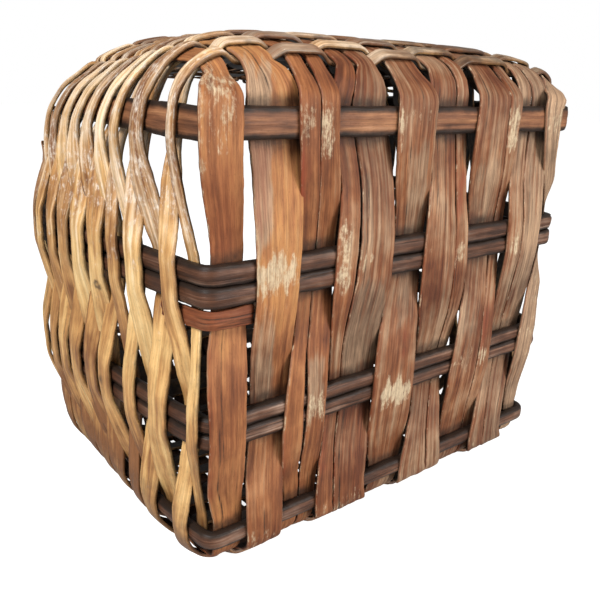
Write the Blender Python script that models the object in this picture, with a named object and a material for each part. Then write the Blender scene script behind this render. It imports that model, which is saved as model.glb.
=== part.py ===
"""A square-based, round-mouthed wood splint basket lying on its side, as separate woven strips."""

import math

import bmesh
import bpy
from mathutils import Matrix, Vector

# Driving dimensions, in metres. While it is built, the base panel stands in the plane y = 0 from z = 0 to
# BASE_HEIGHT, its middle is at x = 0, and the basket's depth runs along +y to the mouth.
BASE_WIDTH = 0.408
BASE_HEIGHT = 0.360
DEPTH = 0.400
GAP = 0.0004

# The walls: how far they swell past the base panel, how fast, and how square their corners are
SIDE_SWELL = 0.0325
SIDE_SWELL_DEPTH = 0.300
TOP_SWELL = 0.034
TOP_SWELL_RATE = 0.030
BOTTOM_SWELL = 0.038
BOTTOM_SWELL_RATE = 0.019
CORNER_POWER_BASE = 14.0
TOP_POWER_MOUTH = 3.2
TOP_POWER_RATE = 0.060
BOTTOM_POWER_MOUTH = 4.2
BOTTOM_POWER_RATE = 0.075

# The shoulder: the depths between which the walls draw in to the smaller mouth, the share of their size that
# is left there, and the height that they draw in towards
DRAW_FROM = 0.240
DRAW_TO = 0.388
MOUTH_SHARE = 0.78
MOUTH_MIDDLE = 0.275

# Rods: the stiff sticks that cross the base and run back along both side walls
ROD_THICK = 0.009
ROD_THICK_AT_RIM = 0.0034
ROD_SHAVED_FROM = 0.3507
ROD_SIDES = 6
ROD_CORNER = 0.009
# Each rod's height on the base panel, and how tall it is itself
RODS = {
    "rod_top": (0.3338, 0.0215),
    "rod_upper_pair_1": (0.2309, 0.0150),
    "rod_upper_pair_2": (0.2146, 0.0150),
    "rod_lower_pair_1": (0.1138, 0.0132),
    "rod_lower_pair_2": (0.0992, 0.0132),
    "rod_bottom": (0.0095, 0.0135),
}
# The bars of the base, top to bottom: a bar is one rod or a close pair, from its lowest to its highest edge,
# and a splint lies flat on it a little past both edges
BARS = (
    (0.3228, 0.3447),
    (0.2070, 0.2385),
    (0.0920, 0.1210),
    (0.0030, 0.0160),
)
BAR_MARGIN = 0.0006
CORNER_STRIP_HEIGHT = 0.1990
CORNER_STRIP_TALL = 0.012
CORNER_STRIP_THICK = 0.004
CORNER_STRIP_ON_BASE = 0.038
CORNER_STRIP_ON_WALL = 0.048

# Splints: name, number in the weave, width, and distance of the middle line from the base's left edge at
# the four bars, top to bottom. A splint with an odd number passes outside the top bar.
SPLINT_THICK = 0.003
SPLINT_WALL_SHARE = 0.78
CORNER_SPLINT_WALL_SHARE = 0.58
BEND_NARROWING = 1.3
BEND_SHARES = (1.0, 0.55, 0.2, 0.05)
SPLINT_WAIST = 0.90
SPLINTS = (
    ("splint_1", 1, 0.029, (0.0065, 0.0275, 0.013, 0.0275)),
    ("splint_2", 2, 0.035, (0.046, 0.0535, 0.0545, 0.0495)),
    ("splint_3_left", 3, 0.017, (0.077, 0.087, 0.075, 0.082)),
    ("splint_3_right", 3, 0.017, (0.095, 0.1045, 0.099, 0.100)),
    ("splint_4_left", 4, 0.0185, (0.119, 0.1178, 0.1245, 0.1135)),
    ("splint_4_right", 4, 0.036, (0.1495, 0.150, 0.153, 0.143)),
    ("splint_5", 5, 0.042, (0.1865, 0.1955, 0.1865, 0.1935)),
    ("splint_6_left", 6, 0.032, (0.230, 0.2275, 0.2385, 0.2255)),
    ("splint_6_right", 6, 0.015, (0.2555, 0.257, 0.264, 0.254)),
    ("splint_7_left", 7, 0.038, (0.2855, 0.2975, 0.2845, 0.289)),
    ("splint_7_right", 7, 0.016, (0.316, 0.326, 0.314, 0.3165)),
    ("splint_8_left", 8, 0.017, (0.338, 0.3395, 0.341, 0.3240)),
    ("splint_8_right", 8, 0.026, (0.3605, 0.3615, 0.3635, 0.3465)),
    ("splint_9", 9, 0.020, (0.382, 0.388, 0.386, 0.386)),
)
# One splint has lost the right half of its width just above the top bar
TORN_SPLINT = "splint_4_right"
TORN_SHARE = 0.52
# Stakes narrow on the shoulder by this power of the walls' own share
STAKE_TAPER = 2.0
WALL_LAYOUT_START = 0.0105
WALL_LAYOUT_END = 0.3975
TWIN_GAP = 0.0046

# Weavers: the strips that run round the four walls, from the base to the mouth
WEAVER_DEPTHS = (
    0.0260, 0.038, 0.057, 0.076, 0.093, 0.107, 0.122, 0.136, 0.152,
    0.166, 0.181, 0.1935, 0.208, 0.2195, 0.2325, 0.243, 0.2535, 0.2635,
    0.2790, 0.2995, 0.3200, 0.3405, 0.3610,
)
WEAVERS_START = 0.006
WEAVER_THICK = 0.0045
WEAVER_GAP = 0.0013
# How much more room a weaver leaves on the shoulder, where the stakes bend under it
SHOULDER_SLACK = 0.0014
WEAVER_FILL = 0.76
WEAVER_CROWN = 0.72
WEAVER_MARGIN = 0.0012
# A weaver stays level past a stake's edge for at most this share of the gap to the next stake
LEVEL_MOST = 0.42
WIDE_STAKE = 0.018

# The rim: two hoops that clamp the ends of the stakes, and the lashing wound round both
RIM_DEPTH = 0.3935
HOOP_WIDE = 0.018
HOOP_THICK = 0.005
HOOP_GAP = 0.0020
ROD_SHAVED_TO = RIM_DEPTH - 0.5 * HOOP_WIDE - 0.001
# Every stake is straight where a weaver crosses its shoulder, and bends between two weavers
SHOULDER_DEPTHS = (
    ROD_SHAVED_TO, 0.3720, ROD_SHAVED_FROM, 0.3302, 0.3097, 0.2892, 0.2710, 0.2585, 0.2480,
)
ROD_DEPTHS = SHOULDER_DEPTHS + (0.200, 0.160, 0.105, 0.060, 0.035)
WALL_DEPTHS = (0.170, 0.115, 0.082, 0.060, 0.042, 0.030, 0.0215)
SPLINT_DEPTHS = (DEPTH, RIM_DEPTH) + SHOULDER_DEPTHS + WALL_DEPTHS
LASHING_WIDE = 0.0040
LASHING_THICK = 0.0014
LASHING_GAP = 0.0008
LASHING_PITCH = 0.034

# The way across a strip that lies level, seen from the mouth's side
LEVEL = Vector((-1.0, 0.0, 0.0))

WOOD_COLOURS = {
    "splint": (0.36, 0.17, 0.07),
    "rod": (0.20, 0.10, 0.05),
    "weaver": (0.45, 0.26, 0.11),
    "rim": (0.28, 0.15, 0.07),
}


def wood(kind):
    name = kind + "_wood"
    if name in bpy.data.materials:
        return bpy.data.materials[name]
    material = bpy.data.materials.new(name)
    material.use_nodes = True
    shader = material.node_tree.nodes["Principled BSDF"]
    shader.inputs["Base Color"].default_value = (*WOOD_COLOURS[kind], 1.0)
    shader.inputs["Roughness"].default_value = 0.6
    shader.inputs["Metallic"].default_value = 0.0
    return material


def settle(y, rate):
    """Rises from 0 at the base to 1 deep in the basket."""
    return 1.0 - math.exp(-max(y, 0.0) / rate)


def drawn(y):
    """The walls' size at depth y as a share: 1 up to the shoulder, less at the mouth."""
    part = max(0.0, min(1.0, (y - DRAW_FROM) / (DRAW_TO - DRAW_FROM)))
    return 1.0 - (1.0 - MOUTH_SHARE) * part * part * (3.0 - 2.0 * part)


def half_width(y):
    turn = 0.5 * math.pi * min(1.0, max(y, 0.0) / SIDE_SWELL_DEPTH)
    return 0.5 * BASE_WIDTH + SIDE_SWELL * math.sin(turn)


def half_height(y, upper):
    swell, rate = (TOP_SWELL, TOP_SWELL_RATE) if upper else (BOTTOM_SWELL, BOTTOM_SWELL_RATE)
    return 0.5 * BASE_HEIGHT + swell * settle(y, rate)


def corner_power(y, upper):
    mouth, rate = (TOP_POWER_MOUTH, TOP_POWER_RATE) if upper else (BOTTOM_POWER_MOUTH, BOTTOM_POWER_RATE)
    return mouth + (CORNER_POWER_BASE - mouth) * (1.0 - settle(y, rate))


def wall_point(y, angle):
    """A point of the walls' middle surface at depth y. The angle is 0 at +x and a right angle at the top."""
    upper = math.sin(angle) >= 0.0
    wide, high, power = half_width(y), half_height(y, upper), corner_power(y, upper)
    reach = (abs(math.cos(angle)) ** power + abs(math.sin(angle)) ** power) ** (-1.0 / power)
    x, z = wide * reach * math.cos(angle), 0.5 * BASE_HEIGHT + high * reach * math.sin(angle)
    share = drawn(y)
    return Vector((x * share, y, MOUTH_MIDDLE + (z - MOUTH_MIDDLE) * share))


def wall_normal(y, angle):
    step = 1e-4
    along = wall_point(y, angle + step) - wall_point(y, angle - step)
    inward = wall_point(max(y, step) + step, angle) - wall_point(max(y, step) - step, angle)
    return inward.cross(along).normalized()


def angle_over(y, x, upper):
    """The angle at which the top or bottom wall passes over x, before the shoulder draws it in."""
    wide, power = half_width(y), corner_power(y, upper)
    level = (1.0 - min(abs(x) / wide, 0.999) ** power) ** (1.0 / power)
    return math.atan2(level if upper else -level, x / wide)


def angle_beside(y, z, left):
    """The angle at which the left or right wall passes height z, before the shoulder draws it in."""
    upper = z >= 0.5 * BASE_HEIGHT
    power = corner_power(y, upper)
    rise = (z - 0.5 * BASE_HEIGHT) / half_height(y, upper)
    level = (1.0 - min(abs(rise), 0.999) ** power) ** (1.0 / power)
    return math.atan2(rise, -level if left else level)


def oval(wide, thick, sides):
    turn = math.tau / sides
    return [(0.5 * wide * math.cos(turn * k), 0.5 * thick * math.sin(turn * k)) for k in range(sides)]


def plank(wide, thick, crown=1.0):
    """A flat section. The outer face is narrower where the crown is under 1."""
    return [
        (-0.5 * wide, -0.5 * thick),
        (0.5 * wide, -0.5 * thick),
        (0.5 * wide * crown, 0.5 * thick),
        (-0.5 * wide * crown, 0.5 * thick),
    ]


def sweep(name, kind, points, normals, sections, closed=False, folds=()):
    """One solid strip along points. A section holds (across, outward) pairs, all sections alike in number.

    A station without a normal keeps its section level, along x. Where folds are given, each section lies
    along its fold and stands out along its normal."""
    mesh = bmesh.new()
    count = len(points)
    rings = []
    for k, point in enumerate(points):
        before = points[k - 1] if closed or k > 0 else point
        after = points[(k + 1) % count] if closed or k < count - 1 else point
        tangent = (after - before).normalized()
        if folds:
            across, outward = folds[k], normals[k]
        else:
            across = LEVEL if normals[k] is None else tangent.cross(normals[k]).normalized()
            outward = across.cross(tangent).normalized()
        rings.append([mesh.verts.new(point + across * a + outward * o) for a, o in sections[k]])
    sides = len(sections[0])
    for k in range(count if closed else count - 1):
        here, there = rings[k], rings[(k + 1) % count]
        for side in range(sides):
            nxt = (side + 1) % sides
            mesh.faces.new((here[side], here[nxt], there[nxt], there[side]))
    if not closed:
        mesh.faces.new(rings[0][::-1])
        mesh.faces.new(rings[-1])
    bmesh.ops.triangulate(mesh, faces=mesh.faces)
    bmesh.ops.recalc_face_normals(mesh, faces=mesh.faces)
    data = bpy.data.meshes.new(name)
    mesh.to_mesh(data)
    mesh.free()
    data.materials.append(wood(kind))
    piece = bpy.data.objects.new(name, data)
    bpy.context.scene.collection.objects.link(piece)
    return piece


def bar_reach():
    """How far a splint's middle stands from the base's middle plane where it crosses a bar."""
    return 0.5 * ROD_THICK + GAP + 0.5 * SPLINT_THICK


def wall_share(name, upper):
    """How much of its width a splint keeps on a wall. The two at the corners are shaved narrower."""
    if name == TORN_SPLINT and upper:
        return TORN_SHARE
    at_corner = name in (SPLINTS[0][0], SPLINTS[-1][0])
    return CORNER_SPLINT_WALL_SHARE if at_corner else SPLINT_WALL_SHARE


def wall_layout(upper):
    """The middle of every splint on the top or bottom wall, packed so that the weavers fit between."""
    widths = [wide * wall_share(name, upper) for name, _, wide, _ in SPLINTS]
    numbers = [number for _, number, _, _ in SPLINTS]
    twins = sum(1 for k in range(1, len(numbers)) if numbers[k] == numbers[k - 1])
    groups = len(set(numbers))
    spare = WALL_LAYOUT_END - WALL_LAYOUT_START - sum(widths) - twins * TWIN_GAP
    gap = spare / (groups - 1)
    middles = []
    edge = WALL_LAYOUT_START
    for k, wide in enumerate(widths):
        if k > 0:
            edge += TWIN_GAP if numbers[k] == numbers[k - 1] else gap
        middles.append(edge + 0.5 * wide - 0.5 * BASE_WIDTH)
        edge += wide
    return middles


def wall_stations(x_base, upper):
    """The splint's points on a wall, from the mouth to the base corner, with their outward normals."""
    points, normals = [], []
    angle = angle_over(0.0, x_base, upper)
    for y in SPLINT_DEPTHS:
        points.append(wall_point(y, angle))
        normals.append(wall_normal(y, angle))
    return points, normals


def corner_stations(wall_end, x_bar, outside, upper, torn):
    """The bend from a wall into the base panel, with how far each point has come from the bar to the wall.

    The middle line of the torn splint jumps to the middle of the half that is left, past the last point."""
    edge = BASE_HEIGHT if upper else 0.0
    sign = 1.0 if upper else -1.0
    reach = bar_reach()
    if upper and outside:
        spots = ((0.013, 0.0098), (0.003, 0.0022), (-0.0045, -0.0055), (-reach, -0.0125))
    elif upper:
        spots = ((0.016, 0.0128), (0.0095, 0.0050), (reach, -0.0045), (reach, -0.0125))
    elif outside:
        spots = ((0.014, 0.0200), (0.003, 0.0135), (-0.0045, 0.0070), (-reach, 0.0005))
    else:
        spots = ((0.018, 0.0233), (0.0105, 0.0165), (reach, 0.0080), (reach, 0.0005))
    points = []
    flat_rise = half_height(wall_end.y, upper) - 0.5 * BASE_HEIGHT
    drop = flat_rise - sign * (wall_end.z - edge)
    for (y, rise), share in zip(spots, BEND_SHARES):
        on_bar = share == BEND_SHARES[-1]
        x_here = x_bar if on_bar else x_bar - torn
        x = x_here + (wall_end.x - x_here) * (0.0 if torn > 0.0 and on_bar else share)
        points.append(Vector((x, y, edge + sign * (rise - drop * share))))
    return points, BEND_SHARES


def base_stations(number, places):
    """The points between the bars of the base panel: flat across each bar, and smooth between two bars."""
    reach = bar_reach()
    points, widths = [], []
    for bar, (low, high) in enumerate(BARS):
        side = -1.0 if (number + bar + 1) % 2 == 0 else 1.0
        x = places[bar] - 0.5 * BASE_WIDTH
        high_end, low_end = high + BAR_MARGIN, low - BAR_MARGIN
        points.append(Vector((x, side * reach, high_end)))
        points.append(Vector((x, side * reach, low_end)))
        widths += [1.0, 1.0]
        if bar + 1 < len(BARS):
            next_x = places[bar + 1] - 0.5 * BASE_WIDTH
            next_high = BARS[bar + 1][1] + BAR_MARGIN
            for share in (0.25, 0.75):
                ease = 0.5 - 0.5 * math.cos(math.pi * share)
                z = low_end + (next_high - low_end) * share
                points.append(Vector((x + (next_x - x) * ease, side * reach * math.cos(math.pi * share), z)))
                widths.append(SPLINT_WAIST)
    return points, widths


def bend_widths(name, shares, upper):
    """A splint's width round its bend, as shares of its full width."""
    end = wall_share(name, upper)
    if name == TORN_SPLINT and upper:
        return [end] * (len(shares) - 1) + [1.0]
    return [1.0 + (end - 1.0) * min(1.0, BEND_NARROWING * share) for share in shares]


def make_splints():
    for (name, number, wide, places), x_upper, x_lower in zip(SPLINTS, wall_layout(True), wall_layout(False)):
        x_top, x_bottom = places[0] - 0.5 * BASE_WIDTH, places[-1] - 0.5 * BASE_WIDTH
        torn = 0.5 * wide * (1.0 - TORN_SHARE) if name == TORN_SPLINT else 0.0
        top_points, top_normals = wall_stations(x_upper, True)
        bend, shares = corner_stations(top_points[-1], x_top, number % 2 == 1, True, torn)
        base, base_widths = base_stations(number, places)
        low_points, low_normals = wall_stations(x_lower, False)
        low_bend, low_shares = corner_stations(low_points[-1], x_bottom, number % 2 == 0, False, 0.0)
        level = [None] * (len(bend) + len(base) + len(low_bend))
        points = top_points + bend + base + low_bend[::-1] + low_points[::-1]
        normals = top_normals + level + low_normals[::-1]
        on_wall = [drawn(y) ** STAKE_TAPER for y in SPLINT_DEPTHS]
        widths = [wall_share(name, True) * share for share in on_wall]
        widths += bend_widths(name, shares, True) + base_widths + bend_widths(name, low_shares, False)[::-1]
        widths += [wall_share(name, False) * share for share in on_wall[::-1]]
        sections = [plank(wide * share, SPLINT_THICK) for share in widths]
        sweep(name, "splint", points, normals, sections)


def rod_path(z, start, end, left_only=False):
    """A rod's middle line: along the left wall, round the corner, across the base, and back on the right."""
    points, normals = [], []
    for y in (start,) + ROD_DEPTHS:
        if y > start:
            continue
        angle = angle_beside(y, z, True)
        points.append(wall_point(y, angle))
        normals.append(wall_normal(y, angle))
    edge = -0.5 * BASE_WIDTH
    for share in (0.0, 1.0 / 3.0, 2.0 / 3.0, 1.0):
        turn = 0.5 * math.pi * share
        out = Vector((-math.cos(turn), -math.sin(turn), 0.0))
        points.append(Vector((edge + ROD_CORNER, ROD_CORNER, z)) + ROD_CORNER * out)
        normals.append(out)
    if left_only:
        points.append(Vector((edge + end, 0.0, z)))
        normals.append(Vector((0.0, -1.0, 0.0)))
        return points, normals
    mirrored = [Vector((-p.x, p.y, p.z)) for p in points[::-1]]
    mirrored_normals = [Vector((-n.x, n.y, n.z)) for n in normals[::-1]]
    return points + mirrored, normals + mirrored_normals


def make_rods():
    for name, (z, tall) in RODS.items():
        points, normals = rod_path(z, DEPTH, DEPTH)
        sections = []
        for point in points:
            shave = max(0.0, min(1.0, (point.y - ROD_SHAVED_FROM) / (ROD_SHAVED_TO - ROD_SHAVED_FROM)))
            thick = ROD_THICK + (ROD_THICK_AT_RIM - ROD_THICK) * shave
            sections.append(oval(tall * drawn(point.y), thick, ROD_SIDES))
        sweep(name, "rod", points, normals, sections)
    points, normals = rod_path(CORNER_STRIP_HEIGHT, CORNER_STRIP_ON_WALL, CORNER_STRIP_ON_BASE, True)
    sections = [plank(CORNER_STRIP_TALL, CORNER_STRIP_THICK) for _ in points]
    sweep("corner_strip", "rod", points, normals, sections)


def angle_for(y, angle, length):
    """The turn round the walls that covers a short length at this place."""
    step = 1e-4
    return length * 2.0 * step / (wall_point(y, angle + step) - wall_point(y, angle - step)).length


def stake_spans(y):
    """Every stake that a weaver crosses at depth y.

    Each has its first and last angle, the half thickness of the stake, and whether an odd row is outside."""
    stakes = {}

    def note(key, angle, wide, half, odd_outside):
        reach = angle_for(y, angle, 0.5 * wide)
        first, last = angle - reach, angle + reach
        if key in stakes:
            first, last = min(first, stakes[key][0]), max(last, stakes[key][1])
        stakes[key] = (first, last, half, odd_outside)

    for left in (True, False):
        for z, tall in RODS.values():
            bar = next(k for k, (low, high) in enumerate(BARS) if low < z < high)
            angle = angle_beside(y, z, left) % math.tau
            if not left and angle > math.pi:
                angle -= math.tau
            note(("rod", left, bar), angle, tall * drawn(y), 0.5 * ROD_THICK, (bar % 2 == 0) == left)
    for upper in (True, False):
        for (name, number, wide, _), middle in zip(SPLINTS, wall_layout(upper)):
            angle = angle_over(0.0, middle, upper) % math.tau
            narrow = wide * wall_share(name, upper) * drawn(y) ** STAKE_TAPER
            note(("splint", upper, number), angle, narrow, 0.5 * SPLINT_THICK, (number % 2 == 1) == upper)
    return sorted(stakes.values())


def row_room(row, angle):
    """The distance along the wall from one weaver's middle line to the nearer of its two neighbours'."""
    lines = (WEAVERS_START,) + WEAVER_DEPTHS + (RIM_DEPTH,)
    here = wall_point(lines[row], angle)
    return min((wall_point(lines[row + side], angle) - here).length for side in (-1, 1))


def lean(y, angle):
    """How far a stake strays along a weaver for each step across it."""
    step = 1e-4
    along = wall_point(y, angle + step) - wall_point(y, angle - step)
    inward = wall_point(y + step, angle) - wall_point(y - step, angle)
    return abs(inward.normalized().dot(along.normalized()))


def level_run(row, y, angle):
    """The turn for which a weaver stays level past a stake's edge: longer where the stake leans under it."""
    stray = 0.5 * WEAVER_FILL * row_room(row, angle) * lean(y, angle)
    return angle_for(y, angle, WEAVER_MARGIN + stray)


def make_weaver(row, y):
    """One ring strip, outside one stake and inside the next all round the walls."""
    stations = []
    spans = stake_spans(y)
    for k, (first, last, half, odd_outside) in enumerate(spans):
        before = (first - spans[k - 1][1]) % math.tau
        after = (spans[(k + 1) % len(spans)][0] - last) % math.tau
        outside = odd_outside == (row % 2 == 1)
        shift = half + WEAVER_GAP + (SHOULDER_SLACK if y > DRAW_FROM else 0.0) + 0.5 * WEAVER_THICK
        shift = shift if outside else -shift
        stations.append((first - min(level_run(row, y, first), LEVEL_MOST * before), shift))
        if angle_for(y, first, WIDE_STAKE) < last - first:
            stations.append((0.5 * (first + last), shift))
        stations.append((last + min(level_run(row, y, last), LEVEL_MOST * after), shift))
    full = []
    for k, (angle, shift) in enumerate(stations):
        full.append((angle, shift))
        next_angle, next_shift = stations[(k + 1) % len(stations)]
        span = (next_angle - angle) % math.tau
        if abs(math.sin(2.0 * angle + span)) > 0.92 and angle_for(y, angle, WIDE_STAKE) < span:
            full.append((angle + 0.5 * span, 0.5 * (shift + next_shift)))
    points = [wall_point(y, angle) + wall_normal(y, angle) * shift for angle, shift in full]
    normals = [wall_normal(y, angle) for angle, _ in full]
    sections = [plank(row_room(row, angle) * WEAVER_FILL, WEAVER_THICK, WEAVER_CROWN) for angle, _ in full]
    sweep(f"weaver_{row:02d}", "weaver", points, normals, sections, closed=True)


def make_weavers():
    for row, y in enumerate(WEAVER_DEPTHS, start=1):
        make_weaver(row, y)


def rim_radius_shift():
    return 0.5 * ROD_THICK_AT_RIM + HOOP_GAP + 0.5 * HOOP_THICK


def rim_passes():
    """Where the lashing passes through the wall: at least once in every gap between stakes."""
    spans = stake_spans(RIM_DEPTH)
    passes = []
    for k, span in enumerate(spans):
        gap = (spans[(k + 1) % len(spans)][0] - span[1]) % math.tau
        count = max(1, round(gap / angle_for(RIM_DEPTH, span[1] + 0.5 * gap, LASHING_PITCH)))
        passes += [span[1] + gap * (j + 0.5) / count for j in range(count)]
    return passes


def rim_angles():
    """The angles of the rim's stations: every pass of the lashing, and halfway to the next one."""
    passes = rim_passes()
    angles = []
    for k, angle in enumerate(passes):
        turn = (passes[(k + 1) % len(passes)] - angle) % math.tau
        angles += [angle, angle + 0.5 * turn]
    return angles


def make_hoops():
    for name, side in (("rim_hoop_outer", 1.0), ("rim_hoop_inner", -1.0)):
        points, normals = [], []
        for angle in rim_angles():
            normal = wall_normal(RIM_DEPTH, angle)
            points.append(wall_point(RIM_DEPTH, angle) + normal * side * rim_radius_shift())
            normals.append(normal)
        sections = [plank(HOOP_WIDE, HOOP_THICK) for _ in points]
        sweep(name, "rim", points, normals, sections, closed=True)


def make_lashing():
    """One long band wound round both hoops: through the wall towards the inside, then back over the mouth's
    edge halfway to the next pass. It folds along the rim at every corner."""
    across = rim_radius_shift() + 0.5 * HOOP_THICK + LASHING_GAP + 0.5 * LASHING_THICK
    along = 0.5 * HOOP_WIDE + LASHING_GAP + 0.5 * LASHING_THICK
    points, normals, folds = [], [], []
    for k, angle in enumerate(rim_angles()):
        deep = -1.0 if k % 2 == 0 else 1.0
        normal = wall_normal(RIM_DEPTH, angle)
        to_mouth = (wall_point(RIM_DEPTH + along, angle) - wall_point(RIM_DEPTH - along, angle)).normalized()
        for side in (-deep, deep):
            points.append(wall_point(RIM_DEPTH, angle) + normal * (side * across) + to_mouth * (deep * along))
            normals.append((normal * side + to_mouth * deep).normalized())
            folds.append(normal.cross(to_mouth))
    sections = [plank(LASHING_WIDE, LASHING_THICK * math.sqrt(2.0)) for _ in points]
    sweep("rim_lashing", "rim", points, normals, sections, closed=True, folds=folds)


def stand_on_origin():
    """Moves all the pieces alike, so that the origin is at the middle of the box's underside."""
    corners = [vertex.co for item in bpy.data.objects for vertex in item.data.vertices]
    lows = [min(co[axis] for co in corners) for axis in range(3)]
    highs = [max(co[axis] for co in corners) for axis in range(3)]
    shift = Vector((-0.5 * (lows[0] + highs[0]), -0.5 * (lows[1] + highs[1]), -lows[2]))
    for item in bpy.data.objects:
        item.data.transform(Matrix.Translation(shift))


def main():
    for item in list(bpy.data.objects):
        bpy.data.objects.remove(item)
    make_splints()
    make_rods()
    make_weavers()
    make_hoops()
    make_lashing()
    stand_on_origin()


main()
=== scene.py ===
"""The looks of an old basket of hand-split wood that lies on its side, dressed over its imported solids."""

import math

import bpy
import numpy as np
from mathutils import Matrix, Vector


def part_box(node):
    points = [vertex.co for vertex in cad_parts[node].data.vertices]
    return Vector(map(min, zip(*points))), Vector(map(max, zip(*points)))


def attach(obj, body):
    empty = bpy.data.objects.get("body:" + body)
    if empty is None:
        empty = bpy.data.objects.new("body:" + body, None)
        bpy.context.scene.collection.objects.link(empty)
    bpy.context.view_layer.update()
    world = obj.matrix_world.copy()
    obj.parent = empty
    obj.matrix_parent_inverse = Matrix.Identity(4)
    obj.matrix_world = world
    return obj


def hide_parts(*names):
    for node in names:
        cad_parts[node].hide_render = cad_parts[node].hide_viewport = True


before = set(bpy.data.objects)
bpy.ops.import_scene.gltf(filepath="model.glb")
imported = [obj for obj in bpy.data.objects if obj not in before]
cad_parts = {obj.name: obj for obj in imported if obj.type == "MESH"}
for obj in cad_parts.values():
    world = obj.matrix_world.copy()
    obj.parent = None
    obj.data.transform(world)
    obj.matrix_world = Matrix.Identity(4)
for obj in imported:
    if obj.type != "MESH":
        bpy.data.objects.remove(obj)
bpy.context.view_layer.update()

# The basket's form, as the solids have it: the base panel stands in y = 0 from z = 0 to BASE_HIGH, and the
# depth runs along +y to the mouth
BASE_WIDE = 0.408
BASE_HIGH = 0.360
DEPTH = 0.400
SIDE_SWELL = 0.0325
SIDE_SWELL_DEPTH = 0.300
TOP_SWELL, TOP_RATE = 0.034, 0.030
BOTTOM_SWELL, BOTTOM_RATE = 0.038, 0.019
DRAW_FROM, DRAW_TO = 0.240, 0.388
MOUTH_SHARE = 0.78
MOUTH_MIDDLE = 0.275
STAKE_TAPER = 2.0
POWER_AT_BASE = 14.0
TOP_POWER, TOP_POWER_RATE = 3.2, 0.060
BOTTOM_POWER, BOTTOM_POWER_RATE = 4.2, 0.075

GAP = 0.0004
ROD_THICK = 0.009
ROD_THICK_AT_RIM = 0.0034
ROD_SHAVED_FROM = 0.3507
ROD_CORNER = 0.009
SPLINT_THICK = 0.003
WEAVER_THICK = 0.0030
WEAVER_GAP = 0.0016
SHOULDER_SLACK = 0.0016
RIM_DEPTH = 0.3935
HOOP_WIDE = 0.018
HOOP_THICK = 0.005
HOOP_GAP = 0.0020
ROD_SHAVED_TO = RIM_DEPTH - 0.5 * HOOP_WIDE - 0.001
BAR_REACH = 0.5 * ROD_THICK + GAP + 0.5 * SPLINT_THICK

CORNER_STRIP_HEIGHT = 0.1990
# Each rod's height on the base panel, and how tall it is itself
RODS = {
    "rod_top": (0.3338, 0.0215),
    "rod_upper_pair_1": (0.2309, 0.0150),
    "rod_upper_pair_2": (0.2146, 0.0150),
    "rod_lower_pair_1": (0.1138, 0.0132),
    "rod_lower_pair_2": (0.0992, 0.0132),
    "rod_bottom": (0.0095, 0.0135),
}
# The bars of the base panel, top to bottom: the lowest and highest edge of one rod or a close pair
BARS = (
    (0.3228, 0.3447),
    (0.2070, 0.2385),
    (0.0920, 0.1210),
    (0.0030, 0.0160),
)

# Splints: name, number in the weave, width on the top and on the bottom wall, and then the left and right
# edge in mm from the base's left edge, at the heights of EDGE_LEVELS
EDGE_LEVELS = (0.340, 0.280, 0.220, 0.160, 0.100, 0.040, 0.009)
SPLINTS = (
    ("splint_1", 1, 16.8, 16.8, ((-4, 31), (-1, 31), (4, 32), (2, 35), (3, 35), (1, 32), (3, 32))),
    ("splint_2", 2, 27.3, 27.3, ((33, 77), (40, 83), (44, 83), (39, 77), (38, 72), (36, 72), (38, 73))),
    ("splint_3_left", 3, 13.3, 13.3, ((78, 96), (81, 98), (80, 95), (78, 92), (72, 92), (72, 88), (73, 88))),
    ("splint_3_right", 3, 13.3, 13.3, ((97, 114), (99, 118), (96, 115), (94, 116), (96, 115), (90, 109), (90, 106))),
    ("splint_4_left", 4, 14.4, 14.4, ((104, 124), (120, 139), (119, 141), (117, 131), (116, 128), (111, 127), (110, 129))),
    ("splint_4_right", 4, 18.7, 28.1, ((126, 160), (142, 176), (144, 183), (132, 172), (130, 168), (129, 167), (131, 168))),
    ("splint_5", 5, 32.8, 32.8, ((176, 220), (180, 219), (180, 215), (174, 219), (171, 222), (169, 216), (172, 210))),
    ("splint_6_left", 6, 25.0, 25.0, ((209, 240), (220, 251), (221, 262), (222, 260), (221, 246), (221, 247), (215, 251))),
    ("splint_6_right", 6, 11.7, 11.7, ((242, 256), (253, 266), (263, 280), (262, 277), (248, 260), (249, 267), (253, 273))),
    ("splint_7_left", 7, 29.6, 29.6, ((274, 315), (273, 316), (277, 310), (281, 315), (276, 315), (269, 305), (266, 302))),
    ("splint_7_right", 7, 12.5, 12.5, ((317, 334), (318, 330), (312, 325), (316, 331), (317, 335), (307, 322), (304, 320))),
    ("splint_8_left", 8, 13.3, 13.3, ((328, 346), (331, 350), (341, 362), (334, 353), (325, 342), (324, 341), (320, 342))),
    ("splint_8_right", 8, 20.3, 20.3, ((349, 372), (352, 384), (364, 392), (355, 383), (344, 372), (343, 370), (344, 371))),
    ("splint_9", 9, 12.8, 12.8, ((373, 400), (386, 402), (394, 408), (388, 407), (382, 409), (373, 395), (374, 393))),
)
LAYOUT_START, LAYOUT_END, TWIN_GAP = 0.0105, 0.3975, 0.0046
# Where the base panel's edges were read from: they are given as they look in the plane y = 0 from here
EYE_X, EYE_Z, EYE_AWAY = -0.4175, 0.3658, 0.3873
# How far a splint inside a bar keeps from the rods' bends at both sides of the base panel
CORNER_ROOM = 0.0078
SIDE_REACH = 0.0070

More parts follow.
